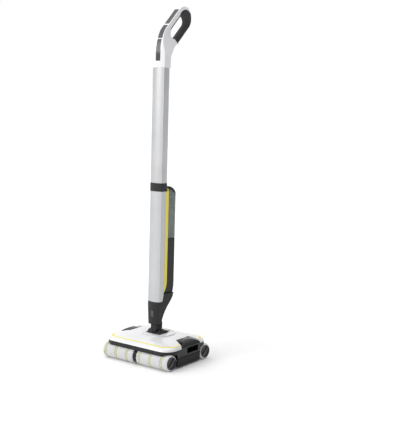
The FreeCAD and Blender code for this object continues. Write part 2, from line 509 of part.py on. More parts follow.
def chassis():
    shell = divider_profile(0).common(box(-DIVIDER_HALF, DIVIDER_HALF, -200, 200, 0, 200))
    hollow = divider_profile(DIVIDER_WALL).common(
        box(-DIVIDER_HALF + DIVIDER_WALL, DIVIDER_HALF - DIVIDER_WALL, -200, 200, 0, 200))
    case = shell.cut(hollow)
    for axle in (FRONT_AXLE, REAR_AXLE):
        case = case.cut(rod(SHAFT_R + RUN, (-20, *axle), (20, *axle)))
    for c in IDLERS:
        case = case.fuse(tube(IDLER_PIN_R + 2, IDLER_PIN_R, (-DIVIDER_HALF, *c), (-GEAR_WIDTH / 2 - 0.3, *c)))
        case = case.fuse(tube(IDLER_PIN_R + 2, IDLER_PIN_R, (GEAR_WIDTH / 2 + 0.3, *c), (DIVIDER_HALF, *c)))
        case = case.cut(rod(IDLER_PIN_R, (-DIVIDER_HALF + 1.5, *c), (DIVIDER_HALF - 1.5, *c)))
    case = case.cut(rod(MOTOR_SHAFT_R + RUN, (0, *PINION), (20, *PINION)))
    left_case = case.common(box(-20, 0, -200, 200, 0, 200))
    save(case.common(box(0, 20, -200, 200, 0, 200)), "gearbox_cover")

    hx, hy, w = CHASSIS_HALF_X, CHASSIS_HALF_Y, CHASSIS_WALL
    flange_low = COVER_BASE_Z - FLANGE_THICK
    frame = box(-hx, hx, -hy, hy, DECK_Z, flange_low)
    frame = frame.cut(box(-hx + w, hx - w, -hy + w, hy - w, DECK_Z + DECK_THICK, flange_low + 1))
    for s in (-1, 1):                            # rails for the two trays
        a, b = sorted((s * (TANK_RIM_HALF + GAP), s * hy))
        c, e = sorted((s * (TANK_HALF_DEPTH + GAP), s * hy))
        rim_low = TANK_TOP + 1.5 - TANK_RIM_DROP
        frame = frame.fuse(box(-hx, hx, a, b, rim_low - GAP - 2.5, DECK_Z))
        frame = frame.fuse(box(-hx, hx, c, e, rim_low - GAP - 2.5, rim_low - GAP))
    case_room = divider_profile(0).common(box(-DIVIDER_HALF, DIVIDER_HALF, -200, 200, 0, 200))
    for x, y in SCREW_SPOTS:
        boss = rod(SCREW_BOSS_R, (x, y, DECK_Z + 1), (x, y, flange_low))
        frame = frame.fuse(boss.cut(rod(SCREW_R, (x, y, flange_low - 8), (x, y, flange_low))))
    motor_y, motor_z = PINION
    saddle = box(DIVIDER_HALF + 6, DIVIDER_HALF + 10, motor_y - 14, motor_y + 14, DECK_Z + 1, motor_z)
    saddle = saddle.fuse(saddle.translated(V(34, 0, 0)))
    frame = frame.fuse(saddle.cut(rod(MOTOR_R, (0, *PINION), (99, *PINION))))
    for s in (-1, 1):                            # posts that carry the drum, and the slot's walls
        a, b = sorted((s * (DRUM_HALF + 1), s * (DRUM_HALF + 8)))
        post = box(a, b, TILT_Y - 9, TILT_Y + 9, DECK_Z + 1, TILT_Z)
        post = post.fuse(rod(9, (a, TILT_Y, TILT_Z), (b, TILT_Y, TILT_Z)))
        c, e = sorted((s * (DRUM_HALF + 1), s * (DRUM_HALF + 3)))
        frame = frame.fuse(post).fuse(box(c, e, TILT_Y, SLOT_REAR + 3, DECK_Z + 1, PLATE_LOW - 0.5))
        frame = frame.cut(rod(TILT_PIN_R, (a - 1, TILT_Y, TILT_Z), (b + 1, TILT_Y, TILT_Z)))
    back = box(-DRUM_HALF - 3, DRUM_HALF + 3, SLOT_REAR + 1, SLOT_REAR + 3, DECK_Z + 1, PLATE_LOW - 0.5)
    frame = frame.fuse(back)
    base = frame.cut(case_room).fuse(left_case)
    save(base, "chassis_frame")

    pins = [rod(TILT_PIN_R, (s * (DRUM_HALF - DRUM_WALL), TILT_Y, TILT_Z), (s * (DRUM_HALF + 8), TILT_Y, TILT_Z))
            for s in (-1, 1)]
    save(as_group(pins), "tilt_pins")

    x0 = DIVIDER_HALF + 1
    motor = rod(MOTOR_R, (x0 + 4, *PINION), (x0 + 4 + MOTOR_LENGTH, *PINION))
    motor = motor.fuse(rod(5, (x0, *PINION), (x0 + 4, *PINION)))
    motor = motor.fuse(rod(4, (x0 + 4 + MOTOR_LENGTH, *PINION), (x0 + 7 + MOTOR_LENGTH, *PINION)))
    motor = motor.cut(rod(MOTOR_SHAFT_R + RUN, (0, *PINION), (DIVIDER_HALF + 13, *PINION)))
    save(motor, "drive_motor")

    bars, lips = [], []
    for s in (-1, 1):
        y = s * (hy + 3.2)
        for side in (-1, 1):
            bars.append(tube(3.0, 1.8, (side * 10, y, 58), (side * (HEAD_WIDTH / 2 - 22), y, 58)))
            a, b = sorted((side * (DIVIDER_HALF + 1.5), side * (HEAD_WIDTH / 2 - 12)))
            # the lip leans from the chassis wall towards the pile and stops just short of it
            lip = [(s * hy, 43.0), (s * (hy + 5), 45.2), (s * (hy + 5), 46.4), (s * hy, 45.2)]
            lips.append(prism_x(lip, a, b).common(box(-hx, hx, -200, 200, 0, 200)))
    save(as_group(bars), "water_bars")
    save(as_group(lips), "wiper_lips")

    screws = [screw_down(SCREW_R, x, y, COVER_BASE_Z, 10.0) for x, y in SCREW_SPOTS]
    save(as_group(screws), "chassis_screws")


# ---- yoke between head and stick -----------------------------------------------------------
def yoke():
    """Drum that turns in the chassis, with a pyramid and a knuckle that carry the steering pin."""
    axis0, axis1 = (-DRUM_HALF, TILT_Y, TILT_Z), (DRUM_HALF, TILT_Y, TILT_Z)
    drum = rod(DRUM_R, axis0, axis1)
    corners = lambda hx, hy, z: Part.makePolygon([V(x, TILT_Y + y, z) for x, y in (
        (-hx, -hy), (hx, -hy), (hx, hy), (-hx, hy), (-hx, -hy))])
    pyramid = Part.makeLoft([corners(DRUM_HALF, YOKE_BASE_HALF_Y, YOKE_BASE_Z),
                             corners(YOKE_TOP_HALF, YOKE_HALF_Y, YOKE_TOP_Z)], True, True)
    h = YOKE_HALF_Y
    body = drum.fuse(pyramid).fuse(lean(rod(KNUCKLE_R, (0, -h, 0), (0, h, 0))))
    inside = DRUM_HALF - DRUM_WALL
    body = body.cut(box(-inside, inside, TILT_Y - 14, TILT_Y + 14, 50, TILT_Z + 10))
    for a, b, r in ((-h - 30, -h, EAR_R), (h, h + 30, REAR_EAR_R)):
        body = body.cut(lean(rod(r + 1.5, (0, a, 0), (0, b, 0))))
    body = body.cut(lean(rod(STEER_PIN_R + RUN, (0, -h - 1, 0), (0, h + 1, 0))))
    for s in (-1, 1):
        body = body.cut(rod(TILT_PIN_R + RUN, (s * 20, TILT_Y, TILT_Z), (s * 40, TILT_Y, TILT_Z)))
    save(body, "joint_yoke")


# ---- stick ---------------------------------------------------------------------------------
def lean(shape):
    """Moves a piece from the stick's own frame to where it stands."""
    shape = shape.copy()
    shape.translate(V(0, TILT_Y, STEER_Z))
    shape.rotate(V(0, TILT_Y, STEER_Z), V(1, 0, 0), -LEAN)
    return shape


def section(half, front, crown, rear, rear_corner, z):
    """Plan outline of the tube: crowned front, tight front corners, rounded back corners."""
    c, k = rear_corner, rear_corner * (1 - math.sqrt(0.5))
    e = 3.0
    ke = e * (1 - math.sqrt(0.5))
    p = lambda x, y: V(x, y, z)
    seg = lambda a, b: Part.LineSegment(a, b).toShape()
    arc = lambda a, b, d: Part.Arc(a, b, d).toShape()
    return Part.Wire([
        arc(p(-half + e, front), p(0, front - crown), p(half - e, front)),
        arc(p(half - e, front), p(half - ke, front + ke), p(half, front + e)),
        seg(p(half, front + e), p(half, rear - c)),
        arc(p(half, rear - c), p(half - k, rear - k), p(half - c, rear)),
        seg(p(half - c, rear), p(-half + c, rear)),
        arc(p(-half + c, rear), p(-half + k, rear - k), p(-half, rear - c)),
        seg(p(-half, rear - c), p(-half, front + e)),
        arc(p(-half, front + e), p(-half + ke, front + ke), p(-half + e, front))])


def tube_piece(z0, z1, rear, rear_corner, grow=0.0, wall=TUBE_WALL):
    outer = Part.Face(section(TUBE_HALF + grow, TUBE_FRONT - grow, TUBE_CROWN, rear + grow, rear_corner, z0))
    inner = Part.Face(section(TUBE_HALF + grow - wall, TUBE_FRONT - grow + wall, TUBE_CROWN,
                              rear + grow - wall, max(rear_corner - wall, 1.0), z0))
    return outer.cut(inner).extrude(V(0, 0, z1 - z0))


def rear_block(half, y0, rear, corner, z0, z1):
    """Box behind the tube with rounded back corners."""
    face = Part.Face(Part.Wire([
        Part.LineSegment(V(-half, y0, z0), V(half, y0, z0)).toShape(),
        Part.LineSegment(V(half, y0, z0), V(half, rear - corner, z0)).toShape(),
        Part.Arc(V(half, rear - corner, z0), V(half - corner * 0.2929, rear - corner * 0.2929, z0),
                 V(half - corner, rear, z0)).toShape(),
        Part.LineSegment(V(half - corner, rear, z0), V(-half + corner, rear, z0)).toShape(),
        Part.Arc(V(-half + corner, rear, z0), V(-half + corner * 0.2929, rear - corner * 0.2929, z0),
                 V(-half, rear - corner, z0)).toShape(),
        Part.LineSegment(V(-half, rear - corner, z0), V(-half, y0, z0)).toShape()]))
    return face.extrude(V(0, 0, z1 - z0))


def rear_profile(shrink):
    """Side view of the battery housing: a straight back that sweeps in to the foot."""
    s = shrink
    outline = smooth_outline([
        (TRIM_REAR - 60, TANK_SPLIT - s), (REAR_Y - s, TANK_SPLIT - s), (REAR_Y - s, 215),
        ("arc", (REAR_Y - 4 - s, 150), (49 - s, 110)), ("arc", (39 - s, 96), (26 - s, 82.5)),
        ("arc", (7 - s * 0.7, 50), (-3, FOOT_BOTTOM + s)), (TRIM_REAR - 60, FOOT_BOTTOM + s)], "yz")
    face = Part.Face(outline)
    body = face.extrude(V(100, 0, 0))
    body.translate(V(-50, 0, 0))
    return body


def foot_width(shrink):
    """Front view of the foot: it tapers from the tube down to the joint."""
    s = shrink
    return prism_y([(-20 + s, FOOT_BOTTOM), (20 - s, FOOT_BOTTOM), (TUBE_HALF - s, FOOT_TOP - 14),
                    (TUBE_HALF - s, 150), (-TUBE_HALF + s, 150), (-TUBE_HALF + s, FOOT_TOP - 14)], -80, 90)


def foot():
    """Dark lower housing with two ears for the steering pin, and its release button."""
    front = Part.Face(section(TUBE_HALF, TUBE_FRONT - 1.0, TUBE_CROWN, 70, 4, 0)).extrude(V(0, 0, 200))
    outside = front.common(rear_profile(0)).common(foot_width(0)).common(prism_x(SPLIT_LINE, -50, 50))
    body = outside
    front_in = Part.Face(section(TUBE_HALF - 3.0, TUBE_FRONT + 2.0, TUBE_CROWN, 67, 3, 0)).extrude(V(0, 0, 200))
    room = front_in.common(rear_profile(2.5)).common(foot_width(3.0))
    room = room.common(box(-50, 50, -60, 60, FOOT_BOTTOM + 10, 200))
    body = body.cut(room)
    body = body.cut(prism_x([(TUBE_FRONT - 8, FOOT_BOTTOM - 1), (TUBE_FRONT + 3, FOOT_BOTTOM - 1),
                             (TUBE_FRONT - 8, FOOT_BOTTOM + 4)], -50, 50))
    sleeve = tube_piece(FOOT_TOP - 17, FOOT_TOP + 50, LOWER_TUBE_REAR, 1.5, -TUBE_WALL, 2.4)
    body = body.fuse(sleeve.cut(room_below(FOOT_TOP - 17)))
    h = YOKE_HALF_Y + 0.4
    for a, b, r in ((-h - EAR_THICK, -h, EAR_R), (h, h + REAR_EAR_THICK, REAR_EAR_R)):
        body = body.fuse(rod(r, (0, a, 0), (0, b, 0))).fuse(box(-r, r, a, b, 0, FOOT_BOTTOM + 8))
    body = body.fuse(box(-REAR_EAR_R, REAR_EAR_R, -h - 1, h + REAR_EAR_THICK, FOOT_BOTTOM, FOOT_BOTTOM + 8))
    body = body.cut(rod(STEER_PIN_R, (0, -h - EAR_THICK + 4, 0), (0, 40, 0)))
    half = BUTTON_HALF + GAP
    body = body.cut(box(-half, half, -45, TUBE_FRONT + 5, BUTTON_LOW - GAP, BUTTON_HIGH + GAP))
    pin = rod(STEER_PIN_R, (0, -h - EAR_THICK + 4, 0), (0, h + REAR_EAR_THICK, 0))
    front, back = TUBE_FRONT - TUBE_CROWN - 1.5, TUBE_FRONT + 1.5
    button = box(-BUTTON_HALF, BUTTON_HALF, front, back, BUTTON_LOW, BUTTON_HIGH)
    back = box(-50, 50, TUBE_FRONT + 3.5, TUBE_FRONT + 6, BUTTON_LOW - 3, BUTTON_HIGH + 3)
    body = body.fuse(back.common(outside))
    return lean(body), lean(pin), lean(button)


def room_below(z):
    return box(-50, 50, -90, 90, z - 50, z)


def trim_outline():
    """Side view of the yellow trim, pointed at both ends."""
    return smooth_outline([
        (LOWER_TUBE_REAR, 128.5), ("arc", (8, 137), (TRIM_REAR, 160)), (TRIM_REAR, 470),
        ("arc", (17.2, 485), (10.5, 497)), (9.9, 497), (9.9, BAND_LOW), (LOWER_TUBE_REAR, BAND_LOW)], "yz")


def stick_shells():
    lower = tube_piece(90, BAND_LOW, LOWER_TUBE_REAR, 1.5)
    above = prism_x([(p[0], p[1]) for p in SPLIT_LINE[:5]] + [(60, 700), (-60, 700)], -50, 50)
    save(lean(lower.common(above)), "lower_tube")
    save(lean(tube_piece(BAND_HIGH, TUBE_TOP, TUBE_REAR, TUBE_REAR_CORNER)), "upper_tube")
    band = tube_piece(BAND_LOW, BAND_HIGH, TUBE_REAR, TUBE_REAR_CORNER, 0.6, TUBE_WALL + 0.6)
    save(lean(band), "tube_collar")
    low, high = BAND_LOW - COUPLER_REACH, BAND_HIGH + COUPLER_REACH
    coupler = tube_piece(low, high, LOWER_TUBE_REAR, 1.5, -TUBE_WALL, 2.0)
    save(lean(coupler), "tube_coupler")

    side = Part.Face(trim_outline()).extrude(V(100, 0, 0))
    side.translate(V(-50, 0, 0))
    plan = prism_z([(-TUBE_HALF, LOWER_TUBE_REAR), (TUBE_HALF, LOWER_TUBE_REAR),
                    (TRIM_REAR_HALF, TRIM_REAR), (-TRIM_REAR_HALF, TRIM_REAR)], 100, 520)
    hole = prism_z([(-TUBE_HALF + 3, LOWER_TUBE_REAR - 1), (TUBE_HALF - 3, LOWER_TUBE_REAR - 1),
                    (TRIM_REAR_HALF - 2.6, TRIM_REAR - TRIM_WALL), (-TRIM_REAR_HALF + 2.6, TRIM_REAR - TRIM_WALL)],
                   170, 470)
    save(lean(side.common(plan).cut(hole)), "side_trim")

    profile = rear_profile(0)
    lower_side = Part.Face(trim_outline()).extrude(V(100, 0, 0))
    lower_side.translate(V(-50, 0, 0))
    housing = rear_block(REAR_HALF, LOWER_TUBE_REAR, REAR_Y, REAR_CORNER, 60, TANK_SPLIT).common(profile)
    housing = housing.cut(prism_x(SPLIT_LINE, -50, 50)).cut(lower_side)
    room = rear_block(REAR_HALF - REAR_WALL, TRIM_REAR + REAR_WALL, REAR_Y - REAR_WALL, REAR_CORNER - REAR_WALL,
                      132, TANK_SPLIT - REAR_WALL).common(rear_profile(REAR_WALL))
    socket_y, socket_z = SOCKET
    housing = housing.cut(room)
    housing = housing.cut(rod(SOCKET_OUT, (0, socket_y, socket_z), (0, REAR_Y + 5, socket_z)))
    save(lean(housing), "battery_housing")


def fresh_tank():
    """Clear water tank with a round shoulder, its dark cap and its outlet valve."""
    z0 = TANK_SPLIT + GAP
    outline = smooth_outline([
        (TRIM_REAR + GAP, z0), (REAR_Y, z0), (REAR_Y, FRESH_TOP - FRESH_TOP_R),
        ("arc", (TRIM_REAR + (REAR_Y - TRIM_REAR) * 0.72, FRESH_TOP - FRESH_TOP_R * 0.30),
         (TRIM_REAR + GAP, FRESH_TOP))], "yz")
    side = Part.Face(outline).extrude(V(100, 0, 0))
    side.translate(V(-50, 0, 0))
    body = rear_block(REAR_HALF, TRIM_REAR + GAP, REAR_Y, REAR_CORNER, z0, FRESH_TOP).common(side)
    inner = rear_block(REAR_HALF - 2, TRIM_REAR + GAP + 2, REAR_Y - 2, REAR_CORNER - 2, z0 + 2, FRESH_TOP)
    inner_side = side.copy()
    inner_side.translate(V(0, -1.5, -2.2))
    cap_line = FRESH_TOP - FRESH_CAP_HEIGHT
    above = [(0, cap_line + 6), (34, cap_line + 2), (80, cap_line - 30), (80, 600), (0, 600)]
    cap_cut = prism_x(above, -50, 50)
    cavity = inner.common(inner_side)
    bottle = body.cut(cavity).cut(cap_cut)
    cap = body.common(cap_cut).cut(cavity.common(cap_cut))
    valve_y = TRIM_REAR + 16
    bottle = bottle.cut(rod(5.0, (0, valve_y, z0 - 1), (0, valve_y, z0 + 3)))
    valve = rod(5.0, (0, valve_y, z0), (0, valve_y, z0 + 9))
    valve = valve.cut(rod(2.0, (0, valve_y, z0 - 1), (0, valve_y, z0 + 10)))
    save(lean(bottle), "fresh_tank")
    save(lean(cap), "fresh_tank_cap")
    save(lean(valve), "tank_valve")


def inner_parts():
    pack = rear_block(17, TRIM_REAR + 5, REAR_Y - 7, 6, 150, 228)
    for z in (175.5, 201.5):
        pack = pack.cut(rear_block(20, TRIM_REAR, REAR_Y, 6, z, z + 1).cut(
            rear_block(16, TRIM_REAR + 6, REAR_Y - 8, 5, z - 1, z + 2)))
    save(lean(pack), "battery_pack")
    board = box(-18, 18, -12, -10.4, 330, 460)
    for z, w, t in ((345, 10, 5), (370, 14, 3), (400, 8, 7), (430, 12, 4)):
        board = board.fuse(box(-w, w, -10.4, -10.4 + t, z, z + 14))
    save(lean(board), "control_board")
    pump_z = 285.0
    pump = rod(11, (0, 40, pump_z - 12), (0, 40, pump_z + 12)).fuse(box(-9, 9, 30, 52, pump_z + 12, pump_z + 20))
    pump = pump.fuse(rod(3, (0, 40, pump_z + 20), (0, 40, TANK_SPLIT - REAR_WALL)))
    save(lean(pump), "water_pump")
    hose = tube(2.6, 1.6, (0, 40, 236), (0, 40, pump_z - 12))
    save(lean(hose), "water_hose")
    y, z = SOCKET
    jack = rod(SOCKET_OUT, (0, y, z), (0, REAR_Y - 0.4, z))
    jack = jack.cut(rod(SOCKET_BORE, (0, y + 1.5, z), (0, REAR_Y + 1, z)))
    save(lean(jack), "charge_socket")


# ---- handle --------------------------------------------------------------------------------
def grip_point(along, across):
    """A point of the grip in side view: along the grip from the middle of its opening, and across
    it, positive to the front."""
    a = math.radians(GRIP_TILT)
    y = GRIP_Y + along * math.cos(a) - across * math.sin(a)
    return (y, GRIP_Z + along * math.sin(a) + across * math.cos(a))


def slot_outline(low, high, r):
    """Side view of a round-ended slot whose ends are at low and high along the grip."""
    g = grip_point
    return smooth_outline([g(low + r, r), g(high - r, r), ("arc", g(high, 0), g(high - r, -r)),
                           g(low + r, -r), ("arc", g(low, 0), g(low + r, r))], "yz")


def grip_polygon(points):
    """A closed side-view outline of points given along and across the grip."""
    corners = [V(0, *grip_point(*p)) for p in points]
    return Part.makePolygon(corners + corners[:1])


def side_push(wire, half):
    body = Part.Face(wire).extrude(V(2 * half, 0, 0))
    body.translate(V(-half, 0, 0))
    return body


def handle_outline():
    """Side view of the handle's outside, from the tube up the front and round the grip."""
    g = grip_point
    top = TUBE_TOP
    front = TUBE_FRONT - TUBE_CROWN
    turn = GRIP_END - (FRONT_REACH + REAR_REACH) / 2
    return smooth_outline([
        (front, top), (front, top + 30.5), ("arc", (-25.6, top + 78.5), (-15.0, top + 112.5)),
        ("arc", (-7.0, top + 126.5), g(-30, FRONT_REACH)), g(turn, FRONT_REACH),
        ("arc", g(GRIP_END, 0.5), g(turn, -REAR_REACH)), g(-12, -REAR_REACH),
        ("arc", (62.3, top + 85.9), (49, top + 80.7)), ("arc", (34.5, top + 72), (24, top + 59.5)),
        (13.5, top + 45.5), ("arc", (9.9, top + 39.1), (TUBE_REAR, top + 31.5)),
        (TUBE_REAR, top)], "yz")


def neck_width():
    """The handle seen from the front: tube width below, an S curve on each side, grip width above."""
    edges = []
    for s in (-1, 1):
        points = []
        for k in range(7):
            t = k / 6
            ease = t * t * (3 - 2 * t)
            half = TUBE_HALF + (GRIP_HALF - TUBE_HALF) * ease
            points.append(V(s * half, -80, NECK_LOW + (NECK_HIGH - NECK_LOW) * t))
        curve = Part.BSplineCurve()
        curve.interpolate(Points=points, InitialTangent=V(0, 0, 1), FinalTangent=V(0, 0, 1))
        edges.append(curve.toShape())
        edges.append(Part.makeLine(V(s * TUBE_HALF, -80, TUBE_TOP - 5), points[0]))
        edges.append(Part.makeLine(points[-1], V(s * GRIP_HALF, -80, TUBE_TOP + 340)))
    edges.append(Part.makeLine(V(-TUBE_HALF, -80, TUBE_TOP - 5), V(TUBE_HALF, -80, TUBE_TOP - 5)))
    edges.append(Part.makeLine(V(-GRIP_HALF, -80, TUBE_TOP + 340), V(GRIP_HALF, -80, TUBE_TOP + 340)))
    return Part.Face(Part.Wire(Part.__sortEdges__(edges))).extrude(V(0, 280, 0))


def handle():
    g = grip_point
    outside = side_push(handle_outline(), TUBE_HALF)
    front = section(TUBE_HALF, TUBE_FRONT, TUBE_CROWN, 200, TUBE_REAR_CORNER, TUBE_TOP)
    body = outside.common(neck_width()).common(Part.Face(front).extrude(V(0, 0, 400)))
    # the grip is slimmer at its rear bar than at its front bar
    slim = [(GRIP_HALF, 60), (GRIP_HALF, HOLE_R - 6), (REAR_BAR_HALF, -HOLE_R), (REAR_BAR_HALF, -70)]
    outline = [V(x, *g(SLIM_FROM, y)) for x, y in slim + [(-x, y) for x, y in reversed(slim)]]
    upward = V(0, *g(130, 0)) - V(0, *g(SLIM_FROM, 0))
    core = Part.Face(Part.makePolygon(outline + outline[:1])).extrude(upward)
    zone = side_push(grip_polygon([(SLIM_FROM, 70), (130, 70), (130, -70), (SLIM_FROM, -70)]), TUBE_HALF + 1)
    body = body.cut(zone.cut(core))
    body = body.cut(side_push(slot_outline(HOLE_LOW, HOLE_HIGH, HOLE_R), 60))
    plug = Part.Face(section(TUBE_HALF - TUBE_WALL, TUBE_FRONT + TUBE_WALL, TUBE_CROWN, TUBE_REAR - TUBE_WALL,
                             TUBE_REAR_CORNER - TUBE_WALL, TUBE_TOP - 30)).extrude(V(0, 0, 30))
    body = body.fuse(plug)
    body = body.cut(box(-14, 14, -14, 0, TUBE_TOP - 31, TUBE_TOP + 77))     # wiring channel

    # dark soft inlay: the rear bar, the bend above it and a lining on the front bar
    d = INLAY_DEPTH
    lining = side_push(slot_outline(HOLE_LOW - d, HOLE_HIGH + d, HOLE_R + d), TUBE_HALF)
    lining = lining.common(side_push(grip_polygon([(-27, 8), (-27, 40), (110, 40), (110, 8)]), TUBE_HALF))
    edge = HOLE_R + d
    bend = smooth_outline([g(-33, -16), g(44, -16), g(44, edge), ("arc", g(75, edge - 1.2), g(93, 2)), g(103, -32),
                           g(110, -60), g(-33, -60)], "yz")
    bar = side_push(bend, TUBE_HALF)
    inlay = lining.fuse(bar).common(body)
    body = body.cut(inlay)

    # three dark pads down the front: two buttons and the display lens
    zones, pockets = button_zones(0), button_zones(PAD_GAP)
    for name, push in (("boost_button", BOOST_PUSH), ("power_button", POWER_PUSH)):
        pocket = pad_piece(pockets[name], PAD_HALF + PAD_GAP, PAD_DEPTH + BUTTON_TRAVEL + GAP, push)
        body = body.cut(pocket)
        save(lean(pad_piece(zones[name], PAD_HALF, PAD_DEPTH, push)), name)
    lens_core = side_push(handle_outline(), PAD_HALF)
    lens_core.translate(V(0, PAD_DEPTH, 0))
    lens = side_push(handle_outline(), PAD_HALF).cut(lens_core)
    lens = lens.common(box(-PAD_HALF, PAD_HALF, -60, 0, *LENS_SPAN))
    body = body.cut(lens)

    screws = []
    for y, z, x0 in HANDLE_SCREWS:
        screw, socket = screw_across(1.6, y, z, x0, 20)
        body = body.cut(screw).cut(rod(1.9 * 1.6 + 0.2, (x0, y, z), (x0 - 30, y, z)))
        screws.append(screw.cut(socket))
    save(lean(body.common(box(-60, 0, -100, 300, TUBE_TOP - 100, TUBE_TOP + 400))), "handle_left")
    save(lean(body.common(box(0, 60, -100, 300, TUBE_TOP - 100, TUBE_TOP + 400))), "handle_right")
    save(lean(as_group(screws)), "handle_screws")
    save(lean(inlay), "grip_inlay")
    save(lean(lens), "display_lens")


def button_zones(spread):
    """Side-view zones of the two buttons, their pockets' zones being wider by the spread."""
    g = grip_point
    boost = [g(BOOST_SPAN[0] - spread, 18), g(BOOST_SPAN[0] - spread, 70), g(BOOST_SPAN[1] + spread, 70),
             g(BOOST_SPAN[1] + spread, 18)]
    low = POWER_LOW - 2.2 * spread
    power = [(-42, low), (-6, low + 2), g(POWER_HIGH + spread, 18), g(POWER_HIGH + spread, 70)]
    return {"boost_button": boost, "power_button": power}


def pad_piece(zone, half, depth, push):
    """A strip of the handle's front skin inside a side-view zone."""
    a = math.radians(push)
    skin = side_push(handle_outline(), half)
    core = skin.copy()
    core.translate(V(0, depth * math.cos(a), -depth * math.sin(a)))
    corners = [V(0, *c) for c in zone]
    return skin.cut(core).common(side_push(Part.makePolygon(corners + corners[:1]), half))


if __name__ == "__main__":
    gear_train()
    for prefix, axle in (("front", FRONT_AXLE), ("rear", REAR_AXLE)):
        for side, sign in (("left", -1), ("right", 1)):
            roller(f"{prefix}_{side}", axle, sign)
    dirty_tank("right", 1)
    dirty_tank("left", -1)
    head_shell()
    chassis()
    yoke()
    housing, pin, button = foot()
    save(housing, "foot_housing")
    save(pin, "steer_pin")
    save(button, "release_button")
    stick_shells()
    fresh_tank()
    inner_parts()
    handle()
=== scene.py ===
"""The looks of a cordless roller floor cleaner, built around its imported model.

Metres, +Z up; the machine stands on z = 0 and its front faces -Y.
"""
import math

import bmesh
import bpy
import numpy as np
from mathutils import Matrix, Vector


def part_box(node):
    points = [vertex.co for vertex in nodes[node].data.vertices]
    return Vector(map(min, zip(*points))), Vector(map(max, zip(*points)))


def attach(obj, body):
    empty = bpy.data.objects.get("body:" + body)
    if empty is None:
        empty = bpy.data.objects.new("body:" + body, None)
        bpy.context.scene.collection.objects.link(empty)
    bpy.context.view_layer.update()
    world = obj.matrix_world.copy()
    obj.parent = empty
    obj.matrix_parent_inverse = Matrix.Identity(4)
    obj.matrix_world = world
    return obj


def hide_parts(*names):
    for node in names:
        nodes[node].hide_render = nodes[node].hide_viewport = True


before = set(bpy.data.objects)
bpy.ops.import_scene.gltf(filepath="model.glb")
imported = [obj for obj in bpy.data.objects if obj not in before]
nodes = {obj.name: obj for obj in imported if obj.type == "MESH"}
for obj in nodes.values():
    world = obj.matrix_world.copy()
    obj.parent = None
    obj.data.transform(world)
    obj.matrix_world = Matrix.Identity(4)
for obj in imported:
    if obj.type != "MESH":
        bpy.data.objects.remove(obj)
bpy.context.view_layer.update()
scene = bpy.context.scene

# ---- The view ------------------------------------------------------------------------------
# A long lens at chest height, off the machine's right front corner, looking slightly down.
bearing, distance, eye_height = math.radians(41.07), 3.320, 1.024
aim_yaw, aim_drop, lens = math.radians(38.39), math.radians(9.33), 77.8
camera = bpy.data.objects.new("view", bpy.data.cameras.new("view"))
scene.collection.objects.link(camera)
camera.location = (distance * math.sin(bearing), -distance * math.cos(bearing), eye_height)
camera.rotation_euler = (math.radians(90) - aim_drop, 0, aim_yaw)
camera.data.lens = lens
camera.data.sensor_width = 36.0
camera.data.clip_end = 50
scene.camera = camera


# ---- Head cover ----------------------------------------------------------------------------
# The white lid of the head, moulded in one glossy piece, with the oval plate round the joint
# clipped into it. Both carry a faint handling haze.


class Value:
    """A socket of a material that takes part in plain Python sums, adding the maths nodes."""

    def __init__(self, socket, tree):
        self.socket, self.tree = socket, tree

    def math(self, operation, *others):
        made = self.tree.nodes.new("ShaderNodeMath")
        made.operation = operation
        for slot, item in zip(made.inputs, (self, *others)):
            if isinstance(item, Value):
                self.tree.links.new(item.socket, slot)
            else:
                slot.default_value = item
        return Value(made.outputs[0], self.tree)

    def __add__(self, other):
        return self.math("ADD", other)

    def __sub__(self, other):
        return self.math("SUBTRACT", other)

    def __mul__(self, other):
        return self.math("MULTIPLY", other)

    def __truediv__(self, other):
        return self.math("DIVIDE", other)

    def __gt__(self, other):
        return self.math("GREATER_THAN", other)

    def __lt__(self, other):
        return self.math("LESS_THAN", other)

    def __abs__(self):
        return self.math("ABSOLUTE")

    def clamp(self, low=0.0, high=1.0):
        return self.math("MAXIMUM", low).math("MINIMUM", high)

    def fade(self, start, end):
        """0 at start, 1 at end, straight between."""
        return ((self - start) / (end - start)).clamp()


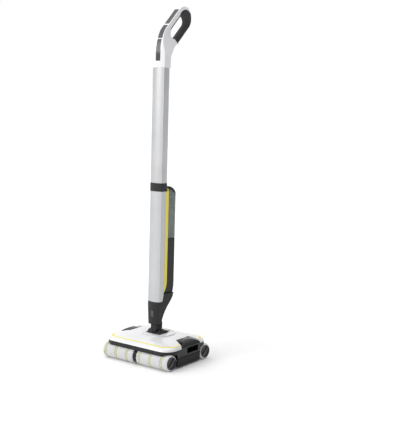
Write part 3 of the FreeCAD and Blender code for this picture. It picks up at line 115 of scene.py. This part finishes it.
class Finish:
    """A material, its surface shader and the tools to fill it."""

    def __init__(self, name, **fixed):
        self.material = bpy.data.materials.new(name)
        self.material.use_nodes = True
        self.tree = self.material.node_tree
        self.shader = self.tree.nodes["Principled BSDF"]
        for key, number in fixed.items():
            self.shader.inputs[key.replace("_", " ")].default_value = number
        place = self.node("ShaderNodeTexCoord")
        self.place = place.outputs["Object"]
        split = self.node("ShaderNodeSeparateXYZ", Vector=self.place)
        self.x, self.y, self.z = (Value(s, self.tree) for s in split.outputs)

    def node(self, kind, settings=None, **values):
        made = self.tree.nodes.new(kind)
        for key, item in (settings or {}).items():
            setattr(made, key, item)
        for key, item in values.items():
            slot = made.inputs[int(key[1:])] if key[1:].isdigit() else made.inputs[key.replace("_", " ")]
            if isinstance(item, Value):
                self.tree.links.new(item.socket, slot)
            elif isinstance(item, bpy.types.NodeSocket):
                self.tree.links.new(item, slot)
            else:
                slot.default_value = item
        return made

    def stretched(self, *scale):
        """Object coordinates, scaled along each axis."""
        return self.node("ShaderNodeMapping", Vector=self.place, Scale=scale).outputs[0]

    def noise(self, scale, detail=2.0, roughness=0.5, at=None):
        made = self.node("ShaderNodeTexNoise", Vector=at or self.place, Scale=scale, Detail=detail,
                         Roughness=roughness)
        return Value(made.outputs["Fac"], self.tree)

    def mix(self, share, first, second):
        made = self.node("ShaderNodeMix", {"data_type": "RGBA"}, _0=share)
        for slot, item in ((made.inputs[6], first), (made.inputs[7], second)):
            if isinstance(item, bpy.types.NodeSocket):
                self.tree.links.new(item, slot)
            else:
                slot.default_value = (*item, 1.0)
        return made.outputs[2]

    def set(self, **sockets):
        for key, item in sockets.items():
            socket = item.socket if isinstance(item, Value) else item
            self.tree.links.new(socket, self.shader.inputs[key.replace("_", " ")])
        return self

    def bump(self, height, depth, strength=1.0):
        made = self.node("ShaderNodeBump", Height=height, Strength=strength, Distance=depth)
        self.tree.links.new(made.outputs[0], self.shader.inputs["Normal"])
        return self

    def onto(self, *names):
        for name in names:
            put_on(nodes[name] if isinstance(name, str) else name, self.material)


def put_on(piece, material):
    if not piece.data.materials:
        piece.data.materials.append(material)
    for index in range(len(piece.data.materials)):
        piece.data.materials[index] = material


def baked(draft):
    """The mesh that a draft's modifiers give. The draft itself is removed."""
    view = bpy.context.evaluated_depsgraph_get()
    mesh = bpy.data.meshes.new_from_object(draft.evaluated_get(view))
    bpy.data.objects.remove(draft)
    return mesh


def add_piece(name, mesh, material, body, slot_name, *parts):
    """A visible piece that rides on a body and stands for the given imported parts."""
    piece = bpy.data.objects.new(name, mesh)
    scene.collection.objects.link(piece)
    put_on(piece, material)
    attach(piece, body)
    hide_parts(*parts)
    return piece


def moulded(name, dark, light, roughness, grain_depth=0.00002, grain=2600.0, **fixed):
    """Injection-moulded plastic: two near tones in soft clouds, uneven gloss and a fine grain."""
    finish = Finish(name, **fixed)
    clouds = finish.noise(9.0, 3.0, 0.6)
    fine = finish.noise(grain, 2.0, 0.6)
    finish.set(Base_Color=finish.mix((clouds * 0.8 + fine * 0.2).fade(0.3, 0.7), dark, light))
    finish.set(Roughness=(finish.noise(60.0, 4.0) * 0.12 + (roughness - 0.06)).clamp(0.02, 1.0))
    return finish.bump(fine, grain_depth, 0.6)


white = moulded("white cover gloss", (0.70, 0.70, 0.715), (0.77, 0.77, 0.785), 0.22, 0.000006)
white.shader.inputs["Coat Weight"].default_value = 0.35
white.shader.inputs["Coat Roughness"].default_value = 0.12
white.onto("head_cover", "joint_plate")

# ---- Yellow inlay and side trims -----------------------------------------------------------
# A soft-gloss yellow strip let into a groove round the cover, and the trims beside the tube.
yellow = moulded("yellow inlay", (0.72, 0.62, 0.010), (0.80, 0.70, 0.016), 0.34, 0.00001)
yellow.onto("cover_inlay", "side_trim")

# ---- Bumper band and dark housings ---------------------------------------------------------
# Matt black plastic with a fine spark-eroded grain.
black = moulded("matt black housing", (0.010, 0.010, 0.011), (0.020, 0.020, 0.022), 0.46, 0.00004,
                Specular_IOR_Level=0.3)
black.onto("bumper_band", "tube_collar", "tube_coupler")
frame_black = moulded("frame black", (0.004, 0.004, 0.0045), (0.010, 0.010, 0.011), 0.5, 0.00003,
                      Specular_IOR_Level=0.25)
frame_black.onto("chassis_frame", "gearbox_cover", "left_tank_tray", "right_tank_tray")

# ---- Rounded housings ----------------------------------------------------------------------
# The moulded parts that a hand or a shoe meets have generous edge radii. Each is its packed
# shape with the edges rounded all over, and stands in for it.


def rounded(name, parts, body, slot_name, material, grid=0.001, passes=5, keep=0.5):
    """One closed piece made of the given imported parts, their edges rounded."""
    gathered = bmesh.new()
    for part in parts:
        source = nodes[part]
        start = len(gathered.verts)
        gathered.from_mesh(source.data)
        gathered.verts.ensure_lookup_table()
        bmesh.ops.transform(gathered, matrix=source.matrix_world, verts=gathered.verts[start:])
    mesh = bpy.data.meshes.new(name)
    gathered.to_mesh(mesh)
    gathered.free()
    draft = bpy.data.objects.new(name + "_draft", mesh)
    scene.collection.objects.link(draft)
    remesh = draft.modifiers.new("even grid", "REMESH")
    remesh.mode, remesh.voxel_size, remesh.use_smooth_shade = "VOXEL", grid, True
    smooth = draft.modifiers.new("round edges", "SMOOTH")
    smooth.factor, smooth.iterations = 0.5, passes
    thin = draft.modifiers.new("fewer faces", "DECIMATE")
    thin.ratio = keep
    done = baked(draft)
    done.polygons.foreach_set("use_smooth", [True] * len(done.polygons))
    add_piece(name, done, material, body, slot_name, *parts)


rounded("foot_rounded", ["foot_housing"], "stick", "dark_shell", black.material, 0.0012)
rounded("housing_rounded", ["battery_housing"], "stick", "dark_shell", black.material, 0.0014)
rounded("yoke_rounded", ["joint_yoke"], "yoke", "dark_shell", black.material, 0.0009)
rounded("cap_rounded", ["fresh_tank_cap"], "fresh_cap", "dark_shell", black.material, 0.0009)

# ---- Grip pods of the dirty water trays ----------------------------------------------------
# Smoked gloss plastic with fine ribs that follow the arch. The rib crests are also painted lighter than
# the hollows, a painted highlight along each rib.
smoked = Finish("smoked pod gloss", Coat_Weight=0.12, Coat_Roughness=0.08,
                Specular_IOR_Level=0.35)
# rib relief for the bump, and painted highlight stripes on the rib crests in the colour
rib_relief_and_painted_highlight = (smoked.x * 900.0).math("SINE").fade(-0.2, 0.9)
shade = rib_relief_and_painted_highlight * 0.7 + smoked.noise(40.0) * 0.3
# the lighter tone is painted highlight on the rib crests, mixed with a random mottle
smoked.set(Base_Color=smoked.mix(shade, (0.004, 0.004, 0.005), (0.014, 0.014, 0.016)))
smoked.set(Roughness=smoked.noise(50.0) * 0.1 + 0.16)
smoked.bump(rib_relief_and_painted_highlight, 0.00015, 0.5)
for side in ("left", "right"):
    rounded(f"{side}_pod", [f"{side}_tank_grip"], f"{side}_dirty_tank", "smoked_plastic",
            smoked.material, 0.001, 4)

# ---- Aluminium tubes -----------------------------------------------------------------------
# Two lengths of drawn and anodised aluminium with a fine grain along them.
metal = Finish("anodised aluminium", Metallic=0.9)
streaks = metal.noise(1.0, 3.0, 0.6, at=metal.stretched(900.0, 900.0, 6.0))
clouds = metal.noise(12.0, 3.0)
shade = (streaks * 0.6 + clouds * 0.4).fade(0.3, 0.7)
metal.set(Base_Color=metal.mix(shade, (0.46, 0.465, 0.475), (0.56, 0.565, 0.575)))
metal.set(Roughness=streaks * 0.16 + 0.34)
metal.bump(streaks, 0.00002, 0.4)
metal.onto("lower_tube", "upper_tube")

# ---- Fresh water tank ----------------------------------------------------------------------
# A clear grey-green bottle, slightly frosted inside by its mould.
clear = Finish("clear tank plastic", Roughness=0.1, IOR=1.49)
haze = clear.noise(30.0, 3.0)
clear.set(Base_Color=clear.mix(haze, (0.13, 0.150, 0.142), (0.21, 0.235, 0.222)))
clear.set(Alpha=haze * 0.14 + 0.62)
clear.set(Roughness=haze * 0.1 + 0.06)
clear.onto("fresh_tank")

# ---- Roller sleeves ------------------------------------------------------------------------
# Four plush sleeves. Short pointed tufts of pile stand on a soft tube, white with three pairs
# of thin yellow rings on each sleeve.
pile_look = Finish("roller pile", Roughness=0.95, Sheen_Weight=0.4, Sheen_Roughness=0.5)
tone = pile_look.noise(700.0, 2.0).fade(0.3, 0.7)
row_start, right_shift = 0.149, 0.157     # left ends of the two sleeves of a row, from the middle
ring_places, pair_half_gap, ring_half_width = (0.0145, 0.0625, 0.1125), 0.0034, 0.0012
on_right = pile_look.x > 0.0
along = pile_look.x - on_right * right_shift + row_start
rings = None
for place in ring_places:
    for side in (-1, 1):
        line = abs(along - (place + side * pair_half_gap)) < ring_half_width
        rings = line if rings is None else rings.math("MAXIMUM", line)
plain = pile_look.mix(tone, (0.80, 0.79, 0.81), (0.93, 0.925, 0.94))
dyed = pile_look.mix(tone, (0.46, 0.52, 0.004), (0.62, 0.68, 0.012))
pile_look.set(Base_Color=pile_look.mix(rings, plain, dyed))
pile_look.bump(tone, 0.0003, 0.5)

tufting = bpy.data.node_groups.new("pile tufting", "GeometryNodeTree")
group_sockets = tufting.interface
group_sockets.new_socket("Geometry", in_out="INPUT", socket_type="NodeSocketGeometry")
first_seed = 11
for label, kind, start in (("Tufts per square metre", "NodeSocketFloat", 420000.0),
                           ("Tuft radius", "NodeSocketFloat", 0.00095),
                           ("Tuft height", "NodeSocketFloat", 0.0024),
                           ("Seed", "NodeSocketInt", first_seed)):
    group_sockets.new_socket(label, in_out="INPUT", socket_type=kind).default_value = start
group_sockets.new_socket("Material", in_out="INPUT", socket_type="NodeSocketMaterial")
group_sockets.new_socket("Geometry", in_out="OUTPUT", socket_type="NodeSocketGeometry")


def tuft_node(kind, **links):
    """A node of the tufting, its inputs linked or set by name."""
    made = tufting.nodes.new(kind)
    for key, item in links.items():
        socket = made.inputs[key.replace("_", " ")]
        if isinstance(item, bpy.types.NodeSocket):
            tufting.links.new(item, socket)
        else:
            socket.default_value = item
    return made


given = tufting.nodes.new("NodeGroupInput").outputs
outer_skin = tuft_node("GeometryNodeInputNamedAttribute", Name="outer skin")
scatter = tuft_node("GeometryNodeDistributePointsOnFaces", Mesh=given["Geometry"],
                    Selection=outer_skin.outputs[0], Density=given["Tufts per square metre"],
                    Seed=given["Seed"])
spike = tuft_node("GeometryNodeMeshCone", Vertices=3, Radius_Bottom=given["Tuft radius"],
                  Radius_Top=0.0, Depth=given["Tuft height"])
sway = tufting.nodes.new("FunctionNodeRandomValue")
sway.data_type = "FLOAT_VECTOR"
lean, spin = 0.3, 3.1                     # how far a tuft may lean and turn, radians
sway.inputs[0].default_value = (-lean, -lean, -spin)
sway.inputs[1].default_value = (lean, lean, spin)
tufting.links.new(given["Seed"], sway.inputs["Seed"])
turned = tuft_node("FunctionNodeRotateEuler", Rotation=scatter.outputs["Rotation"])
turned.space = "LOCAL"
tufting.links.new(sway.outputs[0], turned.inputs["Rotate By"])
planted = tuft_node("GeometryNodeInstanceOnPoints", Points=scatter.outputs["Points"],
                    Instance=spike.outputs["Mesh"], Rotation=turned.outputs[0])
whole = tufting.nodes.new("GeometryNodeJoinGeometry")
tufting.links.new(given["Geometry"], whole.inputs[0])
tufting.links.new(planted.outputs[0], whole.inputs[0])
real = tuft_node("GeometryNodeRealizeInstances", Geometry=whole.outputs[0])
dressed = tuft_node("GeometryNodeSetMaterial", Geometry=real.outputs[0], Material=given["Material"])
result = tufting.nodes.new("NodeGroupOutput")
tufting.links.new(dressed.outputs[0], result.inputs[0])

rollers = [f"{end}_{side}" for end in ("front", "rear") for side in ("left", "right")]
around, steps = 96, 40                    # faces round a sleeve and along it
nose, nose_drop = 0.0045, 0.0034 * 0.6    # length and depth of a sleeve's rounded end
sunk, thick = 0.0018, 0.0054              # soft tube under the tuft tips, and the whole pile
inset, foot, step = 0.0022, 0.0006, 0.0004
for number, roller in enumerate(rollers):
    node = f"{roller}_sleeve"
    low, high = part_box(node)
    centre = (low + high) / 2
    outer = (high.z - low.z) / 2 - sunk
    inner = (high.z - low.z) / 2 - thick
    x0, x1 = low.x + inset, high.x - inset
    # half a section in x and radius: inner wall, rounded end, pile, rounded end
    outline = [(x0 + step, inner), (x0, inner + foot)]
    outline += [(x0 + nose - nose * math.cos(t), outer - nose_drop * (1 - math.sin(t)))
                for t in np.linspace(0.2, math.pi / 2, 6)]
    outline += [(x, outer) for x in np.linspace(x0 + nose, x1 - nose, steps)[1:-1]]
    outline += [(x1 - nose + nose * math.cos(t), outer - nose_drop * (1 - math.sin(t)))
                for t in np.linspace(math.pi / 2, 0.2, 6)]
    outline += [(x1, inner + foot), (x1 - step, inner)]
    rows = len(outline)
    points, faces = [], []
    for k in range(around):
        angle = 2 * math.pi * k / around
        points += [(x, centre.y + r * math.cos(angle), centre.z + r * math.sin(angle)) for x, r in outline]
    for k in range(around):
        a, b = k * rows, ((k + 1) % around) * rows
        faces += [(a + row, b + row, b + (row + 1) % rows, a + (row + 1) % rows) for row in range(rows)]
    mesh = bpy.data.meshes.new(f"{node}_base")
    mesh.from_pydata(points, [], faces)
    build = bmesh.new()
    build.from_mesh(mesh)
    bmesh.ops.recalc_face_normals(build, faces=build.faces)
    build.to_mesh(mesh)
    build.free()
    skin = mesh.attributes.new("outer skin", "FLOAT", "FACE")
    skin.data.foreach_set("value", [1.0 if 2 <= k % rows < rows - 3 else 0.0 for k in range(len(faces))])
    draft = bpy.data.objects.new(f"{node}_draft", mesh)
    scene.collection.objects.link(draft)
    growth = draft.modifiers.new("tufts", "NODES")
    growth.node_group = tufting
    slots = {item.name: item.identifier for item in tufting.interface.items_tree}
    growth[slots["Seed"]] = first_seed + number
    growth[slots["Material"]] = pile_look.material
    piece = add_piece(f"{node}_pile", baked(draft), pile_look.material, f"{roller}_roller", "pile", node)

# ---- Roller cores and end caps -------------------------------------------------------------
# Grey moulded cores, each closed by a dark cap with a finger bar.
core = moulded("grey core", (0.42, 0.43, 0.45), (0.50, 0.51, 0.53), 0.4)
core.onto(*[f"{roller}_core" for roller in rollers])
cap = moulded("dark cap", (0.014, 0.014, 0.015), (0.030, 0.030, 0.032), 0.35)
cap.onto(*[f"{roller}_cap" for roller in rollers])

# ---- Soft grip, keys and display -----------------------------------------------------------
# Soft-touch rubber moulded over the grip, and the keys down the front of the handle.
rubber = moulded("soft rubber", (0.016, 0.016, 0.018), (0.032, 0.032, 0.035), 0.6, 0.00006,
                 Specular_IOR_Level=0.3)
rubber.onto("wiper_lips", "tank_valve", "water_hose")
rounded("grip_rounded", ["grip_inlay"], "stick", "soft_rubber", rubber.material, 0.0008, 4)
keys = moulded("key rubber", (0.045, 0.046, 0.05), (0.07, 0.072, 0.078), 0.45, 0.00003)
keys.onto("power_button", "boost_button", "release_button")
window = moulded("display window", (0.04, 0.042, 0.046), (0.06, 0.062, 0.066), 0.12)
window.onto("display_lens")

# ---- Handle --------------------------------------------------------------------------------
# Two white shells screwed together, rounded wherever a hand touches them.
rounded("handle_rounded", ["handle_left", "handle_right"], "stick", "white_shell", white.material,
        0.0005, 3, 0.25)

# ---- Inner parts ---------------------------------------------------------------------------
# Turned steel, brass, acetal gears, the battery in its blue wrap and the green board.
steel = Finish("ground steel", Metallic=1.0)
steel.set(Base_Color=steel.mix(steel.noise(90.0, 3.0), (0.44, 0.45, 0.47), (0.60, 0.61, 0.63)))
steel.set(Roughness=steel.noise(400.0) * 0.2 + 0.22)
steel.onto("front_drive_shaft", "rear_drive_shaft", "idler_pins", "tilt_pins", "steer_pin",
           "chassis_screws", "handle_screws", "drive_motor")
brass = Finish("turned brass", Metallic=1.0)
brass.set(Base_Color=brass.mix(brass.noise(120.0, 3.0), (0.58, 0.42, 0.14), (0.72, 0.54, 0.22)))
brass.set(Roughness=brass.noise(400.0) * 0.2 + 0.2)
brass.onto("motor_pinion", "charge_socket")
acetal = moulded("acetal gear", (0.72, 0.71, 0.66), (0.80, 0.79, 0.74), 0.35)
acetal.onto(*[f"idler_gear_{k}" for k in (1, 2, 3, 4)])
moulded("battery wrap", (0.04, 0.09, 0.28), (0.06, 0.12, 0.34), 0.3).onto("battery_pack")
moulded("circuit board", (0.015, 0.10, 0.04), (0.02, 0.15, 0.06), 0.35).onto("control_board")
moulded("inner plastic", (0.14, 0.145, 0.15), (0.2, 0.205, 0.21), 0.45).onto("water_pump", "water_bars")

# ---- Floor and light -----------------------------------------------------------------------
# A plain pale floor that glows faintly away from the machine, so it runs into the background
# without a line. Soft light comes from the left front and from above.
floor_mesh = bpy.data.meshes.new("floor")
reach = 30.0
corners = [(-reach, -reach, 0), (reach, -reach, 0), (reach, reach, 0), (-reach, reach, 0)]
floor_mesh.from_pydata(corners, [], [(0, 1, 2, 3)])
floor = bpy.data.objects.new("floor", floor_mesh)
scene.collection.objects.link(floor)
pale = Finish("pale floor", Roughness=0.8, Emission_Strength=0.42)
pale.set(Base_Color=pale.mix(pale.noise(3.0), (0.84, 0.84, 0.84), (0.86, 0.86, 0.86)))
from_middle = (pale.x * pale.x + pale.y * pale.y).math("SQRT").fade(0.4, 3.0)
pale.set(Emission_Color=pale.mix(from_middle, (0.10, 0.10, 0.10), (1.0, 1.0, 1.0)))
put_on(floor, pale.material)

# the studio is white to the left and behind, and falls off to grey on the right
world = bpy.data.worlds.new("studio")
scene.world = world
world.use_nodes = True
sky = world.node_tree
way = sky.nodes.new("ShaderNodeTexCoord")
parts = sky.nodes.new("ShaderNodeSeparateXYZ")
fall = sky.nodes.new("ShaderNodeMapRange")
sky.links.new(way.outputs["Generated"], parts.inputs[0])
sky.links.new(parts.outputs["X"], fall.inputs["Value"])
for slot, number in (("From Min", 0.0), ("From Max", 0.75), ("To Min", 1.0), ("To Max", 0.22)):
    fall.inputs[slot].default_value = number
sky.links.new(fall.outputs[0], sky.nodes["Background"].inputs["Strength"])
sky.nodes["Background"].inputs["Color"].default_value = (1, 1, 1, 1)


def soft_light(name, power, size, place, aim):
    lamp = bpy.data.lights.new(name, "AREA")
    lamp.energy, lamp.size = power, size
    thing = bpy.data.objects.new(name, lamp)
    scene.collection.objects.link(thing)
    thing.location = place
    thing.rotation_euler = (Vector(place) - Vector(aim)).to_track_quat("Z", "Y").to_euler()


soft_light("key", 62.0, 2.2, (-1.6, -3.0, 2.6), (0, 0, 0.6))
soft_light("top", 34.0, 2.5, (0.3, 0.2, 3.4), (0, 0, 0.4))
scene.view_settings.view_transform = "Standard"
